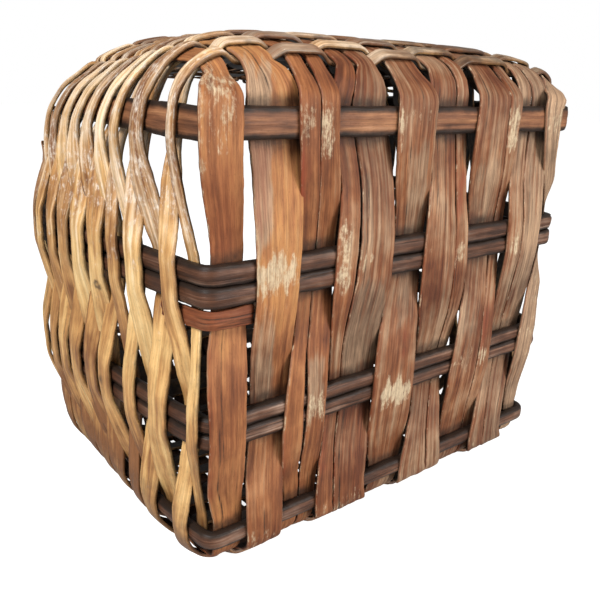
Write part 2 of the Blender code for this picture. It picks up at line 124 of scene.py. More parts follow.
# Weavers: each row's own depth, then in mm its depth on the left wall where it crosses the four bars, top to
# bottom, and how wide it is there
WEAVERS = (
    (0.0260, (26, 20, 8, 19), 11),
    (0.0380, (41, 32, 27, 29), 17),
    (0.0570, (69, 57, 52, 59), 23),
    (0.0760, (83, 76, 74, 75), 21),
    (0.0930, (104, 93, 92, 86), 15),
    (0.1070, (118, 105, 107, 98), 15),
    (0.1220, (130, 121, 131, 114), 17),
    (0.1360, (142, 133, 142, 131), 21),
    (0.1520, (157, 149, 156, 146), 20),
    (0.1660, (168, 164, 168, 160), 21),
    (0.1810, (185, 179, 186, 175), 18),
    (0.1935, (195, 193, 197, 190), 18),
    (0.2080, (211, 206, 212, 204), 17),
    (0.2195, (221, 219, 223, 217), 15),
    (0.2325, (235, 231, 236, 230), 13),
    (0.2430, (243, 243, 245, 242), 12),
    (0.2535, (254, 253, 255, 252), 11),
    (0.2635, (263, 264, 264, 263), 12),
    (0.2790, (279, 279, 279, 279), 15),
    (0.2995, (299, 299, 299, 299), 17),
    (0.3200, (320, 320, 320, 320), 17),
    (0.3405, (340, 340, 340, 340), 17),
    (0.3610, (361, 361, 361, 361), 17),
)
CROSSING_TILT = 0.50
FREE_TILT = 0.10
ROW_FILL = 0.94
CROSSING_WIDTH = 0.86
LEFT_WIDTH = 1.0

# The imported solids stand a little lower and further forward: the same shift places every piece here
corner_low, corner_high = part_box("corner_strip")
splint_low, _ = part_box("splint_5")
SHIFT = np.array([
    0.0,
    splint_low.y + BAR_REACH + 0.5 * SPLINT_THICK,
    0.5 * (corner_low.z + corner_high.z) - CORNER_STRIP_HEIGHT,
])


# The walls
def settle(y, rate):
    return 1.0 - math.exp(-max(y, 0.0) / rate)


def drawn(y):
    part = max(0.0, min(1.0, (y - DRAW_FROM) / (DRAW_TO - DRAW_FROM)))
    return 1.0 - (1.0 - MOUTH_SHARE) * part * part * (3.0 - 2.0 * part)


def half_width(y):
    turn = 0.5 * math.pi * min(1.0, max(y, 0.0) / SIDE_SWELL_DEPTH)
    return 0.5 * BASE_WIDE + SIDE_SWELL * math.sin(turn)


def half_height(y, upper):
    swell, rate = (TOP_SWELL, TOP_RATE) if upper else (BOTTOM_SWELL, BOTTOM_RATE)
    return 0.5 * BASE_HIGH + swell * settle(y, rate)


def corner_power(y, upper):
    mouth, rate = (TOP_POWER, TOP_POWER_RATE) if upper else (BOTTOM_POWER, BOTTOM_POWER_RATE)
    return mouth + (POWER_AT_BASE - mouth) * (1.0 - settle(y, rate))


def wall_point(y, angle):
    upper = math.sin(angle) >= 0.0
    wide, high, power = half_width(y), half_height(y, upper), corner_power(y, upper)
    reach = (abs(math.cos(angle)) ** power + abs(math.sin(angle)) ** power) ** (-1.0 / power)
    x, z = wide * reach * math.cos(angle), 0.5 * BASE_HIGH + high * reach * math.sin(angle)
    share = drawn(y)
    return np.array([x * share, y, MOUTH_MIDDLE + (z - MOUTH_MIDDLE) * share])


def unit(v):
    v = np.asarray(v, float)
    return v / np.maximum(np.linalg.norm(v, axis=-1, keepdims=True), 1e-12)


def wall_normal(y, angle):
    step = 1e-3
    along = wall_point(y, angle + step) - wall_point(y, angle - step)
    inward = wall_point(max(y, step) + step, angle) - wall_point(max(y, step) - step, angle)
    return unit(np.cross(inward, along))


def angle_over(y, x, upper):
    wide, power = half_width(y), corner_power(y, upper)
    level = (1.0 - min(abs(x) / wide, 0.999) ** power) ** (1.0 / power)
    return math.atan2(level if upper else -level, x / wide)


def angle_beside(y, z, left):
    upper = z >= 0.5 * BASE_HIGH
    power = corner_power(y, upper)
    rise = (z - 0.5 * BASE_HIGH) / half_height(y, upper)
    level = (1.0 - min(abs(rise), 0.999) ** power) ** (1.0 / power)
    return math.atan2(rise, -level if left else level)


def angle_for(y, angle, length):
    """The turn round the walls that covers a short length."""
    step = 1e-3
    return length * 2.0 * step / np.linalg.norm(wall_point(y, angle + step) - wall_point(y, angle - step))


# Noise and smooth lines
def ease(t):
    t = np.clip(t, 0.0, 1.0)
    return t * t * (3.0 - 2.0 * t)


def wander(seed, s, pitch):
    """A smooth random line between -1 and 1 along s, with a new height every pitch."""
    heights = np.random.default_rng(seed).uniform(-1.0, 1.0, 4096)
    t = np.asarray(s, float) / pitch + 50.0
    k = np.floor(t).astype(int)
    f = ease(t - k)
    return heights[k % 4096] * (1.0 - f) + heights[(k + 1) % 4096] * f


def cloud(seed, a, b, pitch_a, pitch_b):
    """Smooth random heights between -1 and 1 over a surface."""
    heights = np.random.default_rng(seed).uniform(-1.0, 1.0, (512, 512))
    ta, tb = np.asarray(a, float) / pitch_a + 90.0, np.asarray(b, float) / pitch_b + 90.0
    ka, kb = np.floor(ta).astype(int), np.floor(tb).astype(int)
    fa, fb = ease(ta - ka), ease(tb - kb)
    ka, kb, na, nb = ka % 512, kb % 512, (ka + 1) % 512, (kb + 1) % 512
    low = heights[ka, kb] * (1.0 - fa) + heights[na, kb] * fa
    high = heights[ka, nb] * (1.0 - fa) + heights[na, nb] * fa
    return low * (1.0 - fb) + high * fb


def through(keys, values, places):
    """A smooth curve through values at keys, read at places."""
    keys, values, places = np.asarray(keys, float), np.asarray(values, float), np.asarray(places, float)
    flat = values.ndim == 1
    values = values.reshape(len(keys), -1)
    gaps = np.diff(keys)[:, None]
    slopes = np.diff(values, axis=0) / gaps
    turn = np.empty_like(values)
    turn[0], turn[-1] = slopes[0], slopes[-1]
    turn[1:-1] = (slopes[:-1] * gaps[1:] + slopes[1:] * gaps[:-1]) / (gaps[1:] + gaps[:-1])
    k = np.clip(np.searchsorted(keys, places) - 1, 0, len(keys) - 2)
    h = gaps[k]
    t = ((places - keys[k])[:, None]) / h
    out = (
        (2 * t**3 - 3 * t**2 + 1) * values[k]
        + (t**3 - 2 * t**2 + t) * h * turn[k]
        + (3 * t**2 - 2 * t**3) * values[k + 1]
        + (t**3 - t**2) * h * turn[k + 1]
    )
    return out[:, 0] if flat else out


def resample(rows, step, soften, loop=False):
    """Straight runs through rows of x, y, z and any other values, cut every step and bent softly."""
    rows = np.asarray(rows, float)
    if loop:
        rows = np.vstack([rows, rows[:1]])
    lengths = np.concatenate([[0.0], np.cumsum(np.linalg.norm(np.diff(rows[:, :3], axis=0), axis=1))])
    count = max(4, int(lengths[-1] / step))
    places = np.linspace(0.0, lengths[-1], count + 1)
    fine = np.stack([np.interp(places, lengths, column) for column in rows.T], axis=1)
    if loop:
        fine = fine[:-1]
    reach = max(1, int(2.5 * soften / step))
    bell = np.exp(-0.5 * (np.arange(-reach, reach + 1) * step / soften) ** 2)
    bell /= bell.sum()
    if loop:
        padded = np.vstack([fine[-reach:], fine, fine[:reach]])
    else:
        head = 2.0 * fine[0] - fine[reach:0:-1]
        tail = 2.0 * fine[-1] - fine[-2:-reach - 2:-1]
        padded = np.vstack([head, fine, tail])
    return np.stack([np.convolve(column, bell, mode="valid") for column in padded.T], axis=1)


# One strip of wood
def strip(name, line, facing, left, right, thick, **look):
    """A closed strip of wood along line, with its outer face towards facing.

    left and right are its half widths. look may hold: seed, loop, level (share of the section that is held
    level along x), roll, tops (columns over the outer face), crown, cup, bend (edge radius), relief, splits
    (number of long cracks), frayed (how far the two ends are torn), knots (place, radius and height), and the
    surface's wear (partly a painted highlight), dark marks and dirt (partly painted shade), stain, tone (partly
    painted shade) and bleach (partly a painted highlight), each a number or a function of (u, v, place, outer)."""
    loop, seed = look.get("loop", False), look.get("seed", 1)
    count = len(line)
    ahead = np.roll(line, -1, axis=0) if loop else np.vstack([line[1:], line[-1:]])
    behind = np.roll(line, 1, axis=0) if loop else np.vstack([line[:1], line[:-1]])
    tangent = unit(ahead - behind)
    across = unit(np.cross(tangent, facing))
    if "level" in look:
        share = look["level"][:, None]
        across = unit(across * (1.0 - share) + np.array([-1.0, 0.0, 0.0]) * share)
        across = unit(across - tangent * (across * tangent).sum(1, keepdims=True))
    outward = unit(np.cross(across, tangent))
    if "roll" in look:
        c, s = np.cos(look["roll"])[:, None], np.sin(look["roll"])[:, None]
        across, outward = across * c + outward * s, outward * c - across * s
    along = np.concatenate([[0.0], np.cumsum(np.linalg.norm(np.diff(line, axis=0), axis=1))])
    left, right, thick = (np.broadcast_to(np.asarray(v, float), (count,)).copy() for v in (left, right, thick))
    calm = np.ones(count) if not loop else ease(np.minimum(along, along[-1] - along) / 0.02)
    edge_wander = look.get("edge_wander", 0.0005)
    left += calm * edge_wander * (wander(seed + 1, along, 0.021) + 0.5 * wander(seed + 2, along, 0.004))
    right += calm * edge_wander * (wander(seed + 3, along, 0.023) + 0.5 * wander(seed + 4, along, 0.004))
    thick *= 1.0 + calm * 0.10 * wander(seed + 5, along, 0.045)
    bend = np.minimum(look.get("bend", 0.0010), 0.46 * thick)
    half = 0.5 * thick
    columns = []

    def side(a):
        return (right if a > 0 else left) - bend

    corner = [(0.62, 0.24), (1.0, 1.0)]
    for a in np.linspace(-1.0, 1.0, look.get("tops", 11)):
        columns.append((side(a) * a, half + look.get("crown", 0.0) * (1.0 - a * a), 1.0))
    for out, down in corner:
        columns.append((side(1.0) + bend * out, half - bend * down, 0.6))
    for out, down in corner[::-1]:
        columns.append((side(1.0) + bend * out, -half + bend * down, -0.2))
    for a in np.linspace(1.0, -1.0, max(3, look.get("tops", 11) // 2)):
        columns.append((side(a) * a, -half + look.get("cup", 0.0) * (1.0 - a * a), -1.0))
    for out, down in corner:
        columns.append((-side(-1.0) - bend * out, -half + bend * down, -0.2))
    for out, down in corner[::-1]:
        columns.append((-side(-1.0) - bend * out, half - bend * down, 0.6))
    u = np.stack([np.broadcast_to(c[0], (count,)) for c in columns], axis=1)
    o = np.stack([np.broadcast_to(c[1], (count,)) for c in columns], axis=1)
    outer = np.broadcast_to(np.array([c[2] for c in columns]), u.shape)
    v = np.broadcast_to(along[:, None], u.shape)
    relief = look.get("relief", 0.00022)
    lift = relief * (cloud(seed + 6, u, v, 0.0030, 0.05) + 0.7 * cloud(seed + 7, u, v, 0.008, 0.02))
    rng = np.random.default_rng(seed + 9)
    crack = np.zeros(u.shape)
    for _ in range(look.get("splits", 0)):
        place, start = rng.uniform(-0.8, 0.8), rng.uniform(0.0, along[-1])
        length, deep = rng.uniform(0.03, 0.16), rng.uniform(0.4, 1.0)
        drift = 0.0012 * wander(seed + 11, along + 7.0 * start, 0.03)
        middle = place * 0.5 * (left + right) + drift
        span = ease((along - start) / 0.02) * ease((start + length - along) / 0.02)
        crack = np.maximum(crack, deep * span[:, None] * np.exp(-(((u - middle[:, None]) / 0.0007) ** 2)))
    lift = lift - 0.0007 * crack * (outer > 0.9)
    o = o + lift * np.where(np.abs(outer) > 0.9, np.sign(outer), 0.0) * calm[:, None]
    verts = line[:, None, :] + across[:, None, :] * u[..., None] + outward[:, None, :] * o[..., None]
    ring = np.zeros(u.shape)
    for x, y, z, radius, height in look.get("knots", ()):
        away = np.linalg.norm(verts - np.array([x, y, z]), axis=-1) / radius
        verts = verts + outward[:, None, :] * (height * np.exp(-(away**2)) * (outer > 0.0))[..., None]
        ring = np.maximum(ring, np.exp(-((away - 0.9) ** 2) / 0.06) + 0.6 * np.exp(-((away / 0.35) ** 2)))
    if "frayed" in look:
        for row, way, reach in ((0, -tangent[0], look["frayed"][0]), (-1, tangent[-1], look["frayed"][1])):
            jag = reach * (0.5 + 0.5 * wander(seed + 8, u[row] + 3.0 * outer[row], 0.0022))
            verts[row] += way * jag[:, None]
    width = len(columns)
    rounds = count if loop else count - 1
    k, i = np.meshgrid(np.arange(rounds), np.arange(width), indexing="ij")
    nk, ni = (k + 1) % count, (i + 1) % width
    quads = np.stack([k * width + i, k * width + ni, nk * width + ni, nk * width + i], axis=-1).reshape(-1, 4)
    middle = count // 2
    girth = np.hypot(np.diff(u[middle], append=u[middle][:1]), np.diff(o[middle], append=o[middle][:1]))
    wrap = np.concatenate([[0.0], np.cumsum(girth)])
    lengths = np.append(along, along[-1] + (np.linalg.norm(line[0] - line[-1]) if loop else 0.0))
    corners = [(i, k), (i + 1, k), (i + 1, k + 1), (i, k + 1)]
    uv = np.stack([np.stack([wrap[a], lengths[b]], -1) for a, b in corners], axis=2).reshape(-1, 2)
    uv += np.array([0.37 * (seed % 97), 1.91 * (seed % 89)])
    faces = [tuple(q) for q in quads.tolist()]
    if not loop:
        faces.append(tuple(range(width))[::-1])
        faces.append(tuple(range((count - 1) * width, count * width)))
        caps = np.concatenate([np.stack([u[0][::-1], o[0][::-1]], -1), np.stack([u[-1], o[-1]], -1)])
        uv = np.concatenate([uv, caps + 5.0])
    places = verts
    verts = verts.reshape(-1, 3) + SHIFT
    mesh = bpy.data.meshes.new(name)
    mesh.from_pydata(verts.tolist(), [], faces)
    a, b, c, d = (verts[quads[:, n]] for n in range(4))
    volume = np.einsum("ij,ij->i", a, np.cross(b, c)).sum() + np.einsum("ij,ij->i", a, np.cross(c, d)).sum()
    layer = mesh.uv_layers.new(name="strip")
    layer.data.foreach_set("uv", uv.astype(np.float32).ravel())
    if volume < 0.0:
        mesh.flip_normals()
    mesh.polygons.foreach_set("use_smooth", [True] * len(mesh.polygons))
    for key in ("wear", "grime", "stain", "tone", "bleach"):
        value = look.get(key, 0.0)
        if callable(value):
            value = value(u, v, places, outer)
        value = np.broadcast_to(np.asarray(value, float), u.shape)
        # cracks are darkened as painted shade and dirt in their hollow, and knot rings as the wood's own dark marks
        if key == "grime":
            value = np.maximum(np.maximum(value, 0.9 * crack), 0.8 * ring)
        attribute = mesh.attributes.new(key, "FLOAT", "POINT")
        attribute.data.foreach_set("value", value.astype(np.float32).ravel())
    mesh.update()
    piece = bpy.data.objects.new(name, mesh)
    bpy.context.scene.collection.objects.link(piece)
    return piece


def fit_piece(piece, node, material):
    piece.data.materials.append(material)
    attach(piece, "root")
    if node:
        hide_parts(node)
    return piece


# Wood finishes
class Finish:
    """Builds one wood material node by node."""

    def __init__(self, name):
        self.material = bpy.data.materials.new(name)
        self.material.use_nodes = True
        self.tree = self.material.node_tree
        self.shader = self.tree.nodes["Principled BSDF"]

    def plug(self, socket, value):
        if hasattr(value, "links"):
            self.tree.links.new(value, socket)
        elif isinstance(value, tuple) and len(value) == 3 and socket.type == "RGBA":
            socket.default_value = (*value, 1.0)
        else:
            socket.default_value = value

    def math(self, how, a, b=0.0, clamp=False):
        node = self.tree.nodes.new("ShaderNodeMath")
        node.operation = how
        node.use_clamp = clamp
        self.plug(node.inputs[0], a)
        self.plug(node.inputs[1], b)
        return node.outputs[0]

    def mix(self, share, a, b, how="MIX"):
        node = self.tree.nodes.new("ShaderNodeMix")
        node.data_type = "RGBA"
        node.blend_type = how
        self.plug(node.inputs[0], share)
        self.plug(node.inputs[6], a)
        self.plug(node.inputs[7], b)
        return node.outputs[2]

    def ramp(self, value, stops):
        node = self.tree.nodes.new("ShaderNodeValToRGB")
        self.plug(node.inputs[0], value)
        while len(node.color_ramp.elements) < len(stops):
            node.color_ramp.elements.new(0.5)
        for element, (place, colour) in zip(node.color_ramp.elements, stops):
            element.position = place
            element.color = (*colour, 1.0)
        return node.outputs[0]

    def between(self, value, low, high, to_low=0.0, to_high=1.0):
        node = self.tree.nodes.new("ShaderNodeMapRange")
        node.interpolation_type = "SMOOTHSTEP"
        self.plug(node.inputs[0], value)
        for socket, number in zip(node.inputs[1:5], (low, high, to_low, to_high)):
            socket.default_value = number
        return node.outputs[0]

    def noise(self, vector, scale, detail=2.0, rough=0.5):
        """Noise with its own scale along each axis, so that fibres run along a strip."""
        mapping = self.tree.nodes.new("ShaderNodeMapping")
        self.plug(mapping.inputs["Vector"], vector)
        mapping.inputs["Scale"].default_value = scale
        noise = self.tree.nodes.new("ShaderNodeTexNoise")
        self.plug(noise.inputs["Vector"], mapping.outputs[0])
        noise.inputs["Scale"].default_value = 1.0
        noise.inputs["Detail"].default_value = detail
        noise.inputs["Roughness"].default_value = rough
        return noise.outputs[0]

    def attribute(self, name):
        node = self.tree.nodes.new("ShaderNodeAttribute")
        node.attribute_name = name
        return node.outputs["Fac"]

    def shade(self, colour, share, value):
        """Darkens or lightens a colour by a value, by a share."""
        node = self.tree.nodes.new("ShaderNodeCombineColor")
        for socket in node.inputs[:3]:
            self.plug(socket, value)
        return self.mix(share, colour, node.outputs[0], "MULTIPLY")


def wood(name, deep, mid, light, warm, pale, dry, grain=1.0, rough=0.5, shine=0.24):
    """Old split wood: mottled bands and fibres along the strip, dry grey places, bare pale fibre, and dirt; the pale
    places also carry a painted highlight and the dark places a painted shade, where the mesh asks for them.
    """
    f = Finish(name)
    uv = f.tree.nodes.new("ShaderNodeUVMap")
    uv.uv_map = "strip"
    strip_place = uv.outputs[0]
    place = f.tree.nodes.new("ShaderNodeTexCoord").outputs["Object"]
    fine = f.noise(strip_place, (1700.0, 34.0, 1.0), 2.0, 0.6)
    lines = f.noise(strip_place, (780.0, 12.0, 1.0), 3.0, 0.62)
    streak = f.noise(strip_place, (230.0, 6.0, 1.0), 3.0, 0.55)
    mottle = f.noise(strip_place, (300.0, 40.0, 1.0), 4.0, 0.62)
    speck = f.noise(strip_place, (1250.0, 330.0, 1.0), 1.0, 0.5)
    slow = f.noise(place, (17.0, 17.0, 17.0), 3.0, 0.6)
    blotch = f.noise(place, (75.0, 75.0, 75.0), 4.0, 0.66)
    body = f.math("ADD", f.math("MULTIPLY", streak, 0.40), f.math("MULTIPLY", slow, 0.42))
    body = f.math("ADD", body, f.math("MULTIPLY", mottle, 0.18))
    body = f.math("ADD", body, f.math("MULTIPLY", f.math("SUBTRACT", f.attribute("tone"), 0.5), 0.42))
    colour = f.ramp(body, [(0.36, deep), (0.47, mid), (0.56, light), (0.68, warm)])
    # dry grey places; the paler dry colour also carries a painted highlight where the mesh asks for one
    aged = f.math("ADD", f.math("MULTIPLY", slow, 0.5), f.math("MULTIPLY", streak, 0.5))
    aged = f.math("ADD", aged, f.math("MULTIPLY", f.math("SUBTRACT", f.attribute("bleach"), 0.5), 0.36))
    aged = f.math("MULTIPLY", f.between(aged, 0.42, 0.66), f.between(f.attribute("bleach"), 0.0, 0.3))
    greyed = f.shade(dry, 1.0, f.between(body, 0.34, 0.66, 0.42, 1.25))
    colour = f.mix(f.math("MULTIPLY", aged, 0.82), colour, greyed)
    rough_share = f.math("ADD", f.math("MULTIPLY", f.attribute("bleach"), 0.55 * grain), 0.28 * grain, True)
    colour = f.shade(colour, rough_share, f.between(lines, 0.34, 0.58, 0.56, 1.12))
    colour = f.shade(colour, rough_share, f.between(fine, 0.36, 0.60, 0.76, 1.10))
    colour = f.shade(colour, 0.50, f.between(mottle, 0.34, 0.62, 0.78, 1.10))
    colour = f.shade(colour, 0.45, f.between(speck, 0.62, 0.74, 1.0, 0.45))
    stain = f.math("MULTIPLY", f.attribute("stain"), f.between(streak, 0.30, 0.60), True)
    colour = f.mix(stain, colour, (0.22, 0.040, 0.016))
    # worn places, where the pale fibres lie bare in ragged patches, and a painted highlight where the mesh asks for
    # one
    patchy = f.noise(strip_place, (420.0, 170.0, 1.0), 5.0, 0.7)
    ragged = f.math("ADD", f.math("MULTIPLY", lines, 0.14), f.math("MULTIPLY", blotch, 0.42))
    ragged = f.math("ADD", ragged, f.math("MULTIPLY", patchy, 0.44))
    worn = f.math("ADD", f.attribute("wear"), f.math("MULTIPLY", f.math("SUBTRACT", ragged, 0.5), 3.4))
    worn = f.math("MULTIPLY", f.between(worn, 0.34, 0.95), f.between(f.attribute("wear"), 0.02, 0.25))
    bare = f.mix(f.between(lines, 0.30, 0.60), tuple(0.68 * c for c in pale), pale)
    bare = f.shade(bare, 0.5, f.between(fine, 0.36, 0.60, 0.72, 1.08))
    bare = f.shade(bare, 0.6, f.between(patchy, 0.34, 0.62, 0.62, 1.12))
    colour = f.mix(f.math("MULTIPLY", worn, 0.88), colour, bare)
    # near black for dark marks and dirt, and for painted shade on inner faces, at crossings and in cracks
    dark = f.math("ADD", f.attribute("grime"), f.math("MULTIPLY", f.math("SUBTRACT", blotch, 0.5), 0.8))
    dark = f.math("MULTIPLY", f.between(dark, 0.10, 0.95), f.between(f.attribute("grime"), 0.0, 0.2))
    colour = f.mix(dark, colour, (0.022, 0.013, 0.009))
    f.plug(f.shader.inputs["Base Color"], colour)
    gloss = f.math("ADD", f.math("MULTIPLY", fine, 0.20), rough)
    gloss = f.math("ADD", gloss, f.math("MULTIPLY", worn, 0.15), True)
    f.plug(f.shader.inputs["Roughness"], gloss)
    height = f.math("ADD", f.math("MULTIPLY", lines, 1.0), f.math("MULTIPLY", fine, 0.4))
    height = f.math("ADD", height, f.math("MULTIPLY", mottle, 0.7))
    bump = f.tree.nodes.new("ShaderNodeBump")
    f.plug(bump.inputs["Height"], height)
    bump.inputs["Strength"].default_value = 0.6
    bump.inputs["Distance"].default_value = 0.0008
    f.plug(f.shader.inputs["Normal"], bump.outputs[0])
    f.shader.inputs["Specular IOR Level"].default_value = shine
    return f.material


splint_wood = wood(
    "splint_wood", (0.115, 0.034, 0.014), (0.225, 0.077, 0.028), (0.345, 0.137, 0.050), (0.47, 0.215, 0.072),
    (0.60, 0.465, 0.30), (0.335, 0.222, 0.138),
)
rod_wood = wood(
    "rod_wood", (0.050, 0.022, 0.013), (0.11, 0.045, 0.023), (0.21, 0.085, 0.040), (0.36, 0.165, 0.075),
    (0.60, 0.43, 0.26), (0.30, 0.23, 0.18), 1.1, 0.36,
)
weaver_wood = wood(
    "weaver_wood", (0.26, 0.105, 0.036), (0.54, 0.275, 0.095), (0.77, 0.470, 0.185), (0.88, 0.620, 0.290),
    (0.96, 0.85, 0.72), (0.88, 0.690, 0.510), 0.8, 0.32, 0.42,
)
rim_wood = wood(
    "rim_wood", (0.10, 0.045, 0.024), (0.22, 0.105, 0.052), (0.36, 0.185, 0.095), (0.45, 0.25, 0.13),
    (0.60, 0.45, 0.30), (0.38, 0.30, 0.23), 0.9, 0.45,
)


# Splints
def wall_layout(upper):
    """The middle of every splint on the top or bottom wall, from the basket's middle plane."""
    widths = [(top if upper else bottom) / 1000.0 for _, _, top, bottom, _ in SPLINTS]
    numbers = [number for _, number, *_ in SPLINTS]
    twins = len(numbers) - len(set(numbers))
    gap = (LAYOUT_END - LAYOUT_START - sum(widths) - twins * TWIN_GAP) / (len(set(numbers)) - 1)
    middles, edge = [], LAYOUT_START
    for k, wide in enumerate(widths):
        if k > 0:
            edge += TWIN_GAP if numbers[k] == numbers[k - 1] else gap
        middles.append(edge + 0.5 * wide - 0.5 * BASE_WIDE)
        edge += wide
    return middles


LAYOUT = {upper: wall_layout(upper) for upper in (True, False)}
SHOULDER_DEPTHS = (ROD_SHAVED_TO, 0.3720, ROD_SHAVED_FROM, 0.3302, 0.3097, 0.2892, 0.2710, 0.2585, 0.2480)
SPLINT_DEPTHS = (DEPTH, RIM_DEPTH, *SHOULDER_DEPTHS, 0.170, 0.115, 0.082, 0.060, 0.042, 0.030, 0.0215)
# The bend from a wall into the base panel: depth and rise over the base's edge, and share of the way to the wall
BEND_SHARES = (1.0, 0.55, 0.2, 0.05)
BENDS = {
    (True, True): ((0.013, 0.0098), (0.003, 0.0022), (-0.0045, -0.0055), (-BAR_REACH, -0.0125)),
    (True, False): ((0.016, 0.0128), (0.0095, 0.0050), (BAR_REACH, -0.0045), (BAR_REACH, -0.0125)),
    (False, True): ((0.014, 0.0200), (0.003, 0.0135), (-0.0045, 0.0070), (-BAR_REACH, 0.0005)),
    (False, False): ((0.018, 0.0233), (0.0105, 0.0165), (BAR_REACH, 0.0080), (BAR_REACH, 0.0005)),
}


def splint_rows(order):
    """Rows of x, y, z, half width and level share, from the top mouth over the base to the bottom mouth."""
    name, number, top, bottom, edges = SPLINTS[order]
    levels = np.array(EDGE_LEVELS)[::-1]
    edge_lines = np.array(edges, float)[::-1] / 1000.0 - 0.5 * BASE_WIDE

    def across_base(heights, sides):
        """The splint's middle and half width at its own depth."""
        nearer = 1.0 + (sides * BAR_REACH - 0.5 * SPLINT_THICK) / EYE_AWAY
        read = through(levels, edge_lines, np.clip(heights, levels[0], levels[-1]))
        read = EYE_X + (read - EYE_X) * nearer[:, None]
        most = 0.5 * BASE_WIDE + SIDE_REACH - (SIDE_REACH + CORNER_ROOM) * (0.5 + 0.5 * sides)
        left, right = np.maximum(read[:, 0], -most), np.minimum(read[:, 1], most)
        return 0.5 * (left + right), 0.5 * (right - left)

    ends = {}
    for upper in (True, False):
        wall_half = 0.5 * (top if upper else bottom) / 1000.0
        angle = angle_over(0.0, LAYOUT[upper][order], upper)
        rows = [(*wall_point(y, angle), wall_half * drawn(y) ** STAKE_TAPER, 0.0) for y in SPLINT_DEPTHS]
        outside = number % 2 == (1 if upper else 0)
        bar_side = np.array([-1.0 if outside else 1.0])
        (x_bar,), (half_bar,) = across_base(levels[-1:] if upper else levels[:1], bar_side)
        edge, sign = (BASE_HIGH, 1.0) if upper else (0.0, -1.0)
        last = rows[-1]
        drop = half_height(last[1], upper) - 0.5 * BASE_HIGH - sign * (last[2] - edge)
        for (y, rise), share in zip(BENDS[upper, outside], BEND_SHARES):
            x = x_bar + (last[0] - x_bar) * share
            wide = half_bar + (wall_half - half_bar) * share ** 1.5
            rows.append((x, y, edge + sign * (rise - drop * share), wide, 1.0))
        ends[upper] = rows
    base = []
    for bar, (low, high) in enumerate(BARS):
        side = -1.0 if (number + bar + 1) % 2 == 0 else 1.0
        base += [(high + 0.0006, side), (low - 0.0006, side)]
        if bar + 1 < len(BARS):
            z_from, z_to = low - 0.0006, BARS[bar + 1][1] + 0.0006
            for share in np.linspace(0.0, 1.0, 14)[1:-1]:
                base.append((z_from + (z_to - z_from) * share, side * math.cos(math.pi * share)))
    x_at, half_at = across_base(np.array([z for z, _ in base]), np.array([side for _, side in base]))
    middle = [(x, s * BAR_REACH, z, h, 1.0) for (z, s), x, h in zip(base, x_at, half_at)]
    return np.array(ends[True] + middle + ends[False][::-1])


# Worn pale places on the base panel: splint, left, right, lowest and highest edge in mm, and strength
WORN = (
    ("splint_1", -8, 24, 330, 372, 0.55), ("splint_1", -9, 0, 196, 366, 0.72), ("splint_1", 3, 24, 318, 345, 0.45),
    ("splint_2", 37, 80, 207, 240, 0.95), ("splint_2", 46, 74, 190, 209, 0.4), ("splint_2", 34, 74, -16, -2, 0.6),
    ("splint_3_left", 70, 92, 322, 352, 0.5), ("splint_3_right", 92, 110, 305, 352, 0.55),
    ("splint_3_right", 94, 112, 86, 112, 0.6), ("splint_3_left", 70, 78, 92, 146, 0.35),
    ("splint_4_left", 121, 134, 200, 258, 0.65), ("splint_4_right", 138, 158, 213, 232, 0.8),
    ("splint_4_right", 129, 168, -16, -2, 0.5), ("splint_4_left", 108, 128, -16, -4, 0.45),
    ("splint_5", 169, 185, 316, 345, 0.7), ("splint_5", 188, 214, 330, 350, 0.4),
    ("splint_5", 180, 219, 76, 104, 1.0), ("splint_5", 167, 178, 98, 124, 0.4),
    ("splint_6_left", 204, 228, 216, 229, 0.4), ("splint_6_right", 262, 273, 198, 228, 0.8),
    ("splint_7_left", 278, 304, 88, 114, 0.45), ("splint_7_right", 317, 333, 303, 343, 0.75),
    ("splint_7_right", 318, 332, 90, 110, 0.8), ("splint_8_left", 345, 358, 202, 224, 0.8),
    ("splint_9", 374, 402, 310, 350, 0.5), ("splint_6_left", 213, 225, -14, 0, 0.45),
    ("splint_8_left", 318, 340, -14, 0, 0.45), ("splint_9", 394, 410, 70, 210, 0.3),
)
STAINED = (
    ("splint_3_left", 70, 86, 270, 312, 0.9), ("splint_4_left", 110, 118, 195, 290, 0.9),
    ("splint_6_right", 257, 263, 195, 290, 0.85), ("splint_5", 202, 208, 126, 156, 0.8),
    ("splint_7_left", 270, 275, 96, 126, 0.8), ("splint_2", 30, 52, 255, 330, 0.5),
    ("splint_3_left", 70, 77, 45, 95, 0.7), ("splint_4_left", 112, 117, 30, 100, 0.6),
    ("splint_7_right", 316, 325, 108, 152, 0.6), ("splint_1", 2, 24, 205, 320, 0.28),
    ("splint_1", -2, 3, 20, 190, 0.6),
)
TONES = {
    "splint_1": 0.50, "splint_2": 0.66, "splint_3_left": 0.44, "splint_3_right": 0.46, "splint_4_left": 0.44,
    "splint_4_right": 0.36, "splint_5": 0.46, "splint_6_left": 0.40, "splint_6_right": 0.44,
    "splint_7_left": 0.50, "splint_7_right": 0.52, "splint_8_left": 0.52, "splint_8_right": 0.48, "splint_9": 0.60,
}


# Dry grey places, in the same way
GREYED = (
    ("splint_2", 22, 55, 238, 372, 0.85), ("splint_2", 34, 60, 118, 200, 0.75), ("splint_4_right", 128, 176, 120, 208, 0.8),
    ("splint_4_right", 134, 150, 232, 300, 0.7), ("splint_3_right", 92, 113, 86, 150, 0.7),
    ("splint_5", 190, 216, 150, 320, 0.7), ("splint_7_left", 272, 312, 120, 300, 0.75),
)


# How dry and grey each splint has become
DRYNESS = {
    "splint_1": 0.05, "splint_2": 0.18, "splint_3_left": 0.15, "splint_3_right": 0.25, "splint_4_left": 0.40,
    "splint_4_right": 0.48, "splint_5": 0.48, "splint_6_left": 0.55, "splint_6_right": 0.55,
    "splint_7_left": 0.60, "splint_7_right": 0.60, "splint_8_left": 0.72, "splint_8_right": 0.80, "splint_9": 1.0,
}


